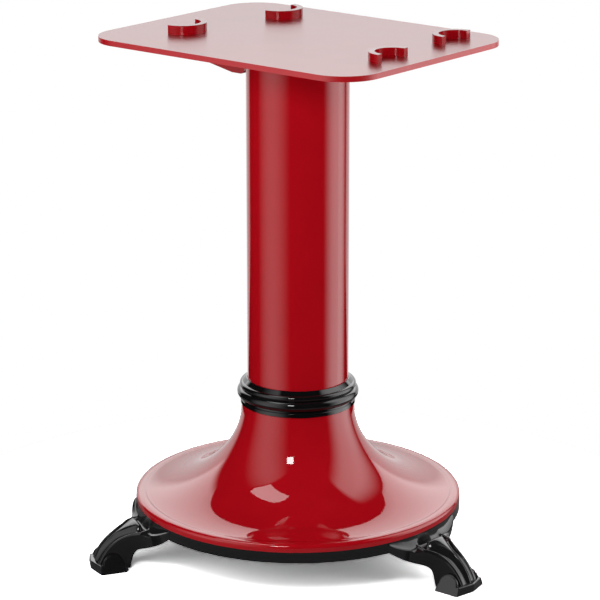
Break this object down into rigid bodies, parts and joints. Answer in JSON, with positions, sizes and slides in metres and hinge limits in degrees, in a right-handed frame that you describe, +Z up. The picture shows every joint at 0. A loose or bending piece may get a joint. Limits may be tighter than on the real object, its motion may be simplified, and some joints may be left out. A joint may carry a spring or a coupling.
{
  "type": "meat slicer stand",
  "caption": "Pedestal stand for a flywheel meat slicer: flat plate with half-ring lugs on a round column, trumpet-shaped base and scrolled cast feet.",
  "frame": {"origin": "on the floor, on the column's axis", "axes": "+X along the plate's length towards the first foot, +Y across the plate, +Z up the column"},
  "size_m": [0.576, 0.5902, 0.79],
  "materials": {
    "red_paint": "gloss red paint on steel",
    "red_enamel_casting": "gloss red paint on a cast iron base",
    "black_enamel": "gloss black enamel",
    "black_cast_iron": "gloss black enamel on cast iron",
    "turned_steel": "turned steel, oiled",
    "zinc_steel": "zinc-plated steel"
  },
  "bodies": {
    "root": {"top_plate": "red_paint", "lug_front_left": "red_paint", "lug_rear_left": "red_paint", "lug_front_right": "red_paint", "lug_rear_right": "red_paint", "plate_rib": "red_paint", "head_flange": "red_paint", "head_screws": "zinc_steel", "head_washers": "zinc_steel", "column_tube": "red_paint", "column_plug": "turned_steel", "centre_bolt": "zinc_steel", "centre_washer": "zinc_steel", "column_dowel": "turned_steel", "collar_ring": "black_enamel", "base_bell": "red_enamel_casting", "foot_ring": "black_enamel", "ring_screws": "zinc_steel", "ring_washers": "zinc_steel", "foot_right": "black_cast_iron", "foot_front_left": "black_cast_iron", "foot_rear_left": "black_cast_iron", "foot_bolts": "zinc_steel", "foot_washers": "zinc_steel"}
  },
  "joints": []
}
